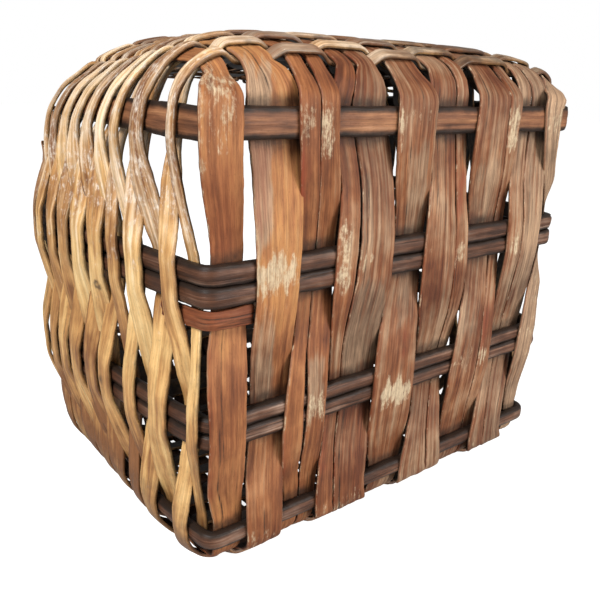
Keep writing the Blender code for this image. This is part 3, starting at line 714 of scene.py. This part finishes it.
def patches(table, name):
    """Reads the marks of one splint from a table, with ragged upper and lower ends."""
    def read(u, v, at, outer):
        nearer = 1.0 + at[..., 1] / EYE_AWAY
        x = (EYE_X + (at[..., 0] - EYE_X) / nearer + 0.5 * BASE_WIDE) * 1000.0
        z = (EYE_Z + (at[..., 2] - EYE_Z) / nearer) * 1000.0
        total = np.zeros(x.shape)
        for piece, left, right, low, high, strength in table:
            if piece == name:
                ragged = 9.0 * cloud(int(low) + 300, x, z, 2.2, 26.0)
                sway = 2.5 * cloud(int(low) + 500, x, z, 40.0, 9.0)
                inside = ease((x - left + 4.0 + sway) / 8.0) * ease((right + 4.0 + sway - x) / 8.0)
                inside = inside * ease((z - low + 9.0 + ragged) / 22.0) * ease((high + 9.0 + ragged - z) / 22.0)
                total = np.maximum(total, strength * inside)
        cut_edge = 0.42 * (outer > 0.0) * (outer < 0.9)
        return np.maximum(total, cut_edge) * (outer > 0.0) * (at[..., 1] < 0.03)

    return read


def dryness(name):
    greyed = patches(GREYED, name)

    def read(u, v, at, outer):
        return np.maximum(DRYNESS[name], greyed(u, v, at, outer))

    return read


def splint_grime(number):
    """Painted shade with some dirt where the splint passes behind a bar, painted shade on the inner face, and darker
    on the outer face away from the base panel.
    """
    def read(u, v, at, outer):
        z, y = at[..., 2], at[..., 1]
        dark = np.zeros(z.shape)
        for bar, (low, high) in enumerate(BARS):
            if (number + bar + 1) % 2 == 1:
                near = ease((z - low + 0.014) / 0.012) * ease((high + 0.014 - z) / 0.012)
                dark = np.maximum(dark, 0.62 * near)
        dark = np.maximum(dark, 0.75 * (outer < 0.0))
        return np.maximum(dark, 0.34 * ease((y - 0.02) / 0.06) * (outer > 0.0))

    return read


def splint_tone(name, number):
    """A splint changes slowly along its length, and the second one is much darker low down."""
    def read(u, v, at, outer):
        z = at[..., 2]
        low = (0.34 if number == 2 else 0.02) * ease((0.19 - z) / 0.05)
        return TONES[name] - low + 0.12 * wander(number * 13 + 5, v, 0.06)

    return read


def make_splints():
    for order, (name, number, *_) in enumerate(SPLINTS):
        rows = resample(splint_rows(order), 0.0024, 0.0022)
        line, half, level = rows[:, :3], rows[:, 3], ease(rows[:, 4])
        facing = np.tile(np.array([0.0, -1.0, 0.0]), (len(line), 1))
        for k, (x, y, z) in enumerate(line):
            if level[k] < 0.999:
                upper = z > 0.5 * BASE_HIGH
                facing[k] = wall_normal(max(y, 0.001), angle_over(0.0, LAYOUT[upper][order], upper))
        piece = strip(
            name, line, facing, half, half, SPLINT_THICK, level=level, seed=31 * (order + 3), tops=27,
            crown=0.0004, bend=0.0009, relief=0.00034, splits=5, tone=splint_tone(name, number),
            bleach=dryness(name), grime=splint_grime(number), wear=patches(WORN, name),
            stain=patches(STAINED, name),
        )
        fit_piece(piece, name, splint_wood)


# Rods
def rod_rows(z, start, end=None):
    """Rows of x, y, z and outward direction: left wall, corner, base panel, corner, right wall."""
    sides = []
    for left in (True, False):
        part = []
        for y in (start, *SHOULDER_DEPTHS, 0.200, 0.160, 0.105, 0.060, 0.035):
            if y <= start and (not part or y < part[-1][1]):
                angle = angle_beside(y, z, left)
                part.append((*wall_point(y, angle), *wall_normal(y, angle)))
        sign = -1.0 if left else 1.0
        for share in (0.0, 0.2, 0.4, 0.6, 0.8, 1.0):
            turn = 0.5 * math.pi * share
            out = np.array([sign * math.cos(turn), -math.sin(turn), 0.0])
            middle = np.array([sign * (0.5 * BASE_WIDE - ROD_CORNER), ROD_CORNER, z])
            part.append((*(middle + ROD_CORNER * out), *out))
        sides.append(part)
    if end is not None:
        return np.array(sides[0] + [(end - 0.5 * BASE_WIDE, 0.0, z, 0.0, -1.0, 0.0)])
    return np.array(sides[0] + sides[1][::-1])


def make_rods():
    for order, (name, (z, tall)) in enumerate(RODS.items()):
        rows = resample(rod_rows(z, DEPTH), 0.003, 0.0025)
        line, facing = rows[:, :3], unit(rows[:, 3:6])
        shave = np.clip((line[:, 1] - ROD_SHAVED_FROM) / (ROD_SHAVED_TO - ROD_SHAVED_FROM), 0.0, 1.0)
        thick = 0.0084 + (ROD_THICK_AT_RIM - 0.0084) * shave
        seed = 700 + 17 * order
        along = np.arange(len(line)) * 0.003
        shrink = np.array([drawn(y) for y in line[:, 1]])
        half = 0.5 * tall * shrink * (1.055 + 0.015 * wander(seed, along, 0.05))

        # An even light dirt, the edges dark as bark, and the inner face darker as painted shade.
        def grime(u, v, at, outer):
            low_edge = ease((np.abs(u) / (0.5 * tall) - 0.45) / 0.4)
            return np.clip(0.14 + 0.75 * low_edge + 0.8 * (outer < 0.0), 0.0, 0.95)

        piece = strip(
            name, line, facing, half, half, thick, seed=seed, tops=13, crown=0.0007, bend=0.0024,
            relief=0.0004, splits=8, tone=0.66 if order == 0 else 0.40, bleach=0.1 if order == 0 else 0.36,
            grime=grime,
        )
        fit_piece(piece, name, rod_wood)


def make_corner_strip():
    rows = resample(rod_rows(CORNER_STRIP_HEIGHT - 0.0016, 0.048, 0.038), 0.002, 0.0025)
    line, facing = rows[:, :3], unit(rows[:, 3:6])

    # An even dirt, and the inner face darker as painted shade.
    def grime(u, v, at, outer):
        return 0.2 + 0.6 * (outer < 0.0)

    piece = strip(
        "corner_strip", line, facing, 0.0076, 0.0076, 0.0038, seed=911, tops=15, crown=0.0006, splits=7,
        relief=0.0004, frayed=(0.004, 0.004), tone=0.36, grime=grime, stain=0.42, bleach=0.3,
    )
    fit_piece(piece, "corner_strip", splint_wood)


# Weavers
def stake_spans(y):
    """Every stake at depth y: first and last angle, half thickness, and whether an odd row is outside."""
    stakes = {}

    def note(key, angle, wide, half, odd_outside):
        reach = angle_for(y, angle, 0.5 * wide)
        first, last = angle - reach, angle + reach
        if key in stakes:
            first, last = min(first, stakes[key][0]), max(last, stakes[key][1])
        stakes[key] = (first, last, half, odd_outside)

    for left in (True, False):
        for z, tall in RODS.values():
            bar = next(k for k, (low, high) in enumerate(BARS) if low < z < high)
            angle = angle_beside(y, z, left) % math.tau
            if not left and angle > math.pi:
                angle -= math.tau
            note(("rod", left, bar), angle, tall * drawn(y), 0.5 * ROD_THICK, (bar % 2 == 0) == left)
    for upper in (True, False):
        for (_, number, top, bottom, _), middle in zip(SPLINTS, LAYOUT[upper]):
            angle = angle_over(0.0, middle, upper) % math.tau
            wide = (top if upper else bottom) / 1000.0 * drawn(y) ** STAKE_TAPER
            note(("splint", upper, number), angle, wide, 0.5 * SPLINT_THICK, (number % 2 == 1) == upper)
    return sorted(stakes.values())


def lean(y, angle):
    """How far a stake strays along a weaver for each step across it."""
    step = 1e-3
    along = wall_point(y, angle + step) - wall_point(y, angle - step)
    inward = wall_point(y + step, angle) - wall_point(y - step, angle)
    return abs(float(unit(inward) @ unit(along)))


def left_depths(row, y):
    """Angles and depths of a row from the middle of the top wall, down the left wall, to the bottom wall."""
    bars = [angle_beside(y, 0.5 * (low + high), True) % math.tau for low, high in BARS]
    depths = [d / 1000.0 for d in WEAVERS[row][1]]
    keys = [0.60 * math.pi, bars[0] - 0.14, *bars, bars[3] + 0.14, 1.40 * math.pi]
    return keys, [y, 0.5 * (y + depths[0]), *depths, 0.5 * (y + depths[3]), y]


def weaver_rows(row):
    """Rows of x, y, z, outward direction, and share of a crossing between two stakes, round the walls."""
    y = WEAVERS[row][0]
    before = WEAVERS[row - 1][0] if row else 0.006
    after = WEAVERS[row + 1][0] if row + 1 < len(WEAVERS) else RIM_DEPTH
    beside = (before, after)
    keys, values = left_depths(row, y)
    rows = []
    spans = stake_spans(y)
    for k, (first, last, half, odd_outside) in enumerate(spans):
        side = 1.0 if odd_outside == (row % 2 == 0) else -1.0
        room = WEAVER_GAP + (SHOULDER_SLACK if y > DRAW_FROM else 0.0) + 0.5 * WEAVER_THICK
        here = side * (half + room)
        next_first, _, next_half, next_odd = spans[(k + 1) % len(spans)]
        next_side = 1.0 if next_odd == (row % 2 == 0) else -1.0
        there = next_side * (next_half + room)
        margin = min(angle_for(y, last, 0.001 + 0.006 * lean(y, last)), 0.4 * ((next_first - last) % math.tau))
        gap = (next_first - last) % math.tau - 2.0 * margin
        spots = [(first - margin + (last - first + 2.0 * margin) * t, here, 0.0, 0.0) for t in (0.0, 0.5, 1.0)]
        cuts = max(2, int(gap / angle_for(y, last + 0.5 * gap, 0.006)))
        for j in range(1, cuts):
            t = j / cuts
            free = math.sin(math.pi * t)
            meeting = free if here * there < 0.0 else 0.0
            spots.append((last + margin + gap * t, here + (there - here) * t, meeting, free))
        for angle, shift, meeting, free in spots:
            turned = angle % math.tau
            depth = y
            if keys[0] < turned < keys[-1]:
                depth = float(through(keys, values, np.array([turned]))[0])
            normal = wall_normal(depth, angle)
            spot = wall_point(depth, angle)
            room = min(np.linalg.norm(wall_point(edge, angle) - wall_point(y, angle)) for edge in beside)
            rows.append((*(spot + normal * shift), *normal, meeting, room, free))
    return np.array(rows)


# Knots on the weavers: row, then place, radius and height in mm from the base's lower left corner
KNOTS = (
    (1, -212, 28, 290, 6.0, 1.6),
    (2, -213, 47, 183, 5.0, 1.4),
    (6, -226, 134, 108, 8.0, 2.4),
    (6, -226, 130, 92, 6.0, 1.8),
    (7, -228, 134, 195, 6.0, 1.6),
)


def make_weavers():
    for row, (y, _, wide) in enumerate(WEAVERS):
        fine = resample(weaver_rows(row), 0.003, 0.0035, loop=True)
        line, facing, meeting = fine[:, :3], unit(fine[:, 3:6]), fine[:, 6]
        free = fine[:, 8]
        plain = 0.5 * ROW_FILL * fine[:, 7]
        left_wall = ease((-line[:, 0] - 0.165) / 0.03)
        corner = 1.0 - 0.24 * ease((line[:, 2] - 0.29) / 0.03)
        own = 0.5 * wide / 1000.0 * LEFT_WIDTH * corner * (1.0 + (CROSSING_WIDTH - 1.0) * meeting)
        half = plain + (own - plain) * left_wall
        seed = 1500 + 41 * row
        wide_here = np.clip((half - plain * 0.8) / (0.4 * plain), 0.0, 1.0)
        roll = left_wall * (CROSSING_TILT * meeting * wide_here + FREE_TILT * (free - meeting))

        # Paler towards the upper left: partly wear, partly a painted highlight where the light falls.
        def wear(u, v, at, outer):
            high = ease((at[..., 2] - 0.15) / 0.16) * ease((-at[..., 0] - 0.10) / 0.10)
            return (0.10 + 0.34 * high) * (outer > 0.0)

        # Bleached towards the upper left, partly a painted highlight, and paler on the top wall.
        def bleach(u, v, at, outer):
            high = ease((at[..., 2] - 0.17) / 0.14) * ease((-at[..., 0] - 0.10) / 0.10)
            on_top = ease((at[..., 2] - 0.345) / 0.03) * (1.0 - high)
            return (0.10 + 0.44 * high + 0.50 * on_top) * (outer > 0.5)

        # Painted shade on the inner faces, on the side faces and edges of the outer face between rows, on rows
        # further in the basket away from the left wall, and towards the bottom.
        def grime(u, v, at, outer):
            inside = 0.86 * (outer < -0.9)
            edge = 0.62 * (np.abs(outer) < 0.3)
            edge = edge + 0.42 * (outer > 0.5) * ease((np.abs(u) / half[:, None] - 0.80) / 0.16)
            hidden = 0.55 * ease((at[..., 0] + 0.12) / 0.16)
            low = 0.36 * ease((0.10 - at[..., 2]) / 0.10)
            return np.maximum(np.maximum(inside, edge), np.maximum(hidden, low))

        def tone(u, v, at, outer):
            own_tone = 0.50 + 0.14 * math.sin(2.1 * row + 0.6) + (-0.12 if row == 0 else 0.0)
            if row == 2:
                own_tone = own_tone + 0.26 * ease((0.20 - at[..., 2]) / 0.03)
            # darker towards the bottom as painted shade
            own_tone = own_tone - 0.26 * ease((0.13 - at[..., 2]) / 0.12)
            own_tone = own_tone - 0.22 * ease((at[..., 2] - 0.345) / 0.03) * ease((at[..., 0] + 0.19) / 0.04)
            return own_tone + 0.16 * wander(seed + 12, v, 0.06)

        piece = strip(
            f"weaver_{row + 1:02d}", line, facing, half, half, WEAVER_THICK, seed=seed, loop=True, tops=11,
            crown=0.0004, bend=0.0007, relief=0.00025, splits=6, roll=roll, tone=tone, wear=wear,
            bleach=bleach, grime=grime, knots=[tuple(c / 1000.0 for c in k[1:]) for k in KNOTS if k[0] == row],
        )
        fit_piece(piece, f"weaver_{row + 1:02d}", weaver_wood)


# The rim
RIM_SHIFT = 0.5 * ROD_THICK_AT_RIM + HOOP_GAP + 0.5 * HOOP_THICK
LASHING_WIDE, LASHING_THICK, LASHING_GAP, LASHING_PITCH = 0.0050, 0.0014, 0.0008, 0.034


def rim_passes():
    """Where the lashing passes through the wall: at least once in every gap between stakes."""
    spans = stake_spans(RIM_DEPTH)
    passes = []
    for k, span in enumerate(spans):
        gap = (spans[(k + 1) % len(spans)][0] - span[1]) % math.tau
        count = max(1, round(gap / angle_for(RIM_DEPTH, span[1] + 0.5 * gap, LASHING_PITCH)))
        passes += [span[1] + gap * (j + 0.5) / count for j in range(count)]
    return passes


def make_rim():
    passes = rim_passes()
    for name, side, seed in (("rim_hoop_outer", 1.0, 3001), ("rim_hoop_inner", -1.0, 3051)):
        rows = []
        for k, angle in enumerate(passes):
            turn = (passes[(k + 1) % len(passes)] - angle) % math.tau
            for share in (0.0, 0.25, 0.5, 0.75):
                normal = wall_normal(RIM_DEPTH, angle + turn * share)
                rows.append((*(wall_point(RIM_DEPTH, angle + turn * share) + normal * side * RIM_SHIFT), *normal))
        fine = resample(rows, 0.004, 0.003, loop=True)

        # An even dirt, and the inner face darker as painted shade.
        def grime(u, v, at, outer):
            return 0.25 + 0.3 * (outer < 0.0)

        half = 0.5 * HOOP_WIDE
        piece = strip(
            name, fine[:, :3], unit(fine[:, 3:6]), half, half, 0.0046, seed=seed, loop=True, tops=13,
            crown=0.0003, splits=12, tone=0.5, grime=grime,
        )
        fit_piece(piece, name, rim_wood)
    across = RIM_SHIFT + 0.5 * HOOP_THICK + LASHING_GAP + 0.5 * LASHING_THICK
    along = 0.5 * HOOP_WIDE + LASHING_GAP + 0.5 * LASHING_THICK
    rows = []
    for k, angle in enumerate(passes):
        turn = (passes[(k + 1) % len(passes)] - angle) % math.tau
        for deep, here in ((-1.0, angle), (1.0, angle + 0.5 * turn)):
            normal = wall_normal(RIM_DEPTH, here)
            to_mouth = unit(wall_point(RIM_DEPTH + along, here) - wall_point(RIM_DEPTH - along, here))
            for side in (-deep, deep):
                spot = wall_point(RIM_DEPTH, here) + normal * (side * across) + to_mouth * (deep * along)
                rows.append((*spot, *unit(normal * side + to_mouth * deep)))
    fine = resample(rows, 0.0016, 0.0008, loop=True)

    # An even dirt, and the inner face darker as painted shade.
    def lashing_grime(u, v, at, outer):
        return 0.2 + 0.3 * (outer < 0.0)

    half = 0.5 * LASHING_WIDE
    piece = strip(
        "rim_lashing", fine[:, :3], unit(fine[:, 3:6]), half, half, LASHING_THICK, seed=3101, loop=True,
        tops=5, crown=0.0002, bend=0.0005, relief=0.0001, edge_wander=0.0002, tone=0.62, grime=lashing_grime,
    )
    fit_piece(piece, "rim_lashing", rim_wood)


make_splints()
make_rods()
make_corner_strip()
make_weavers()
make_rim()


# Floor, light and camera
def plain(name, colour, rough=0.9):
    material = bpy.data.materials.new(name)
    material.use_nodes = True
    shader = material.node_tree.nodes["Principled BSDF"]
    shader.inputs["Base Color"].default_value = (*colour, 1.0)
    shader.inputs["Roughness"].default_value = rough
    return material


bpy.ops.object.select_all(action="DESELECT")
bpy.ops.mesh.primitive_plane_add(size=14.0, location=(0.0, 0.0, -0.0004))
floor = bpy.context.object
floor.name = "floor"
floor_look = plain("floor_paper", (0.46, 0.46, 0.46))
tree = floor_look.node_tree
path = tree.nodes.new("ShaderNodeLightPath")
seen = tree.nodes.new("ShaderNodeMath")
seen.operation = "MULTIPLY"
seen.inputs[1].default_value = 0.90
tree.links.new(path.outputs["Is Camera Ray"], seen.inputs[0])
shader = tree.nodes["Principled BSDF"]
shader.inputs["Emission Color"].default_value = (1.0, 1.0, 1.0, 1.0)
shader.inputs["Specular IOR Level"].default_value = 0.0
tree.links.new(seen.outputs[0], shader.inputs["Emission Strength"])
floor.data.materials.append(floor_look)

world = bpy.context.scene.world or bpy.data.worlds.new("studio")
bpy.context.scene.world = world
world.use_nodes = True
tree = world.node_tree
tree.nodes.clear()
path = tree.nodes.new("ShaderNodeLightPath")
sky = tree.nodes.new("ShaderNodeBackground")
sky.inputs["Color"].default_value = (1.0, 1.0, 1.0, 1.0)
sky.inputs["Strength"].default_value = 0.27
white = tree.nodes.new("ShaderNodeBackground")
white.inputs["Color"].default_value = (1.0, 1.0, 1.0, 1.0)
white.inputs["Strength"].default_value = 1.0
pick = tree.nodes.new("ShaderNodeMixShader")
tree.links.new(path.outputs["Is Camera Ray"], pick.inputs[0])
tree.links.new(sky.outputs[0], pick.inputs[1])
tree.links.new(white.outputs[0], pick.inputs[2])
out = tree.nodes.new("ShaderNodeOutputWorld")
tree.links.new(pick.outputs[0], out.inputs[0])


def lamp(name, place, target, size, power):
    data = bpy.data.lights.new(name, "AREA")
    data.shape = "DISK"
    data.size = size
    data.energy = power
    lamp_object = bpy.data.objects.new(name, data)
    lamp_object.location = place
    lamp_object.rotation_mode = "QUATERNION"
    lamp_object.rotation_quaternion = (Vector(target) - Vector(place)).to_track_quat("-Z", "Y")
    bpy.context.scene.collection.objects.link(lamp_object)


lamp("key", (-1.5, -0.75, 1.6), (0.0, 0.0, 0.24), 0.8, 43.0)
lamp("front_fill", (0.6, -1.95, 0.75), (0.0, 0.0, 0.2), 1.4, 38.0)

# The camera stands where the photograph was taken from
FOCUS = 663.88
YAW, PITCH, ROLL = -0.6533, 0.3272, -0.0369
CAMERA_PLACE = (-0.4175, -0.3873, 0.3658)
ahead = np.array([-math.sin(YAW) * math.cos(PITCH), math.cos(YAW) * math.cos(PITCH), -math.sin(PITCH)])
right = np.array([math.cos(YAW), math.sin(YAW), 0.0])
down = np.cross(ahead, right)
right_turned = math.cos(ROLL) * right + math.sin(ROLL) * down
down_turned = -math.sin(ROLL) * right + math.cos(ROLL) * down
camera_data = bpy.data.cameras.new("camera")
camera_data.sensor_width = 36.0
camera_data.lens = FOCUS / 600.0 * 36.0
camera = bpy.data.objects.new("camera", camera_data)
turn = Matrix((right_turned, -down_turned, -ahead)).transposed()
camera.matrix_world = Matrix.Translation(Vector(np.array(CAMERA_PLACE) + SHIFT)) @ turn.to_4x4()
bpy.context.scene.collection.objects.link(camera)
bpy.context.scene.camera = camera
bpy.context.scene.view_settings.view_transform = "Standard"
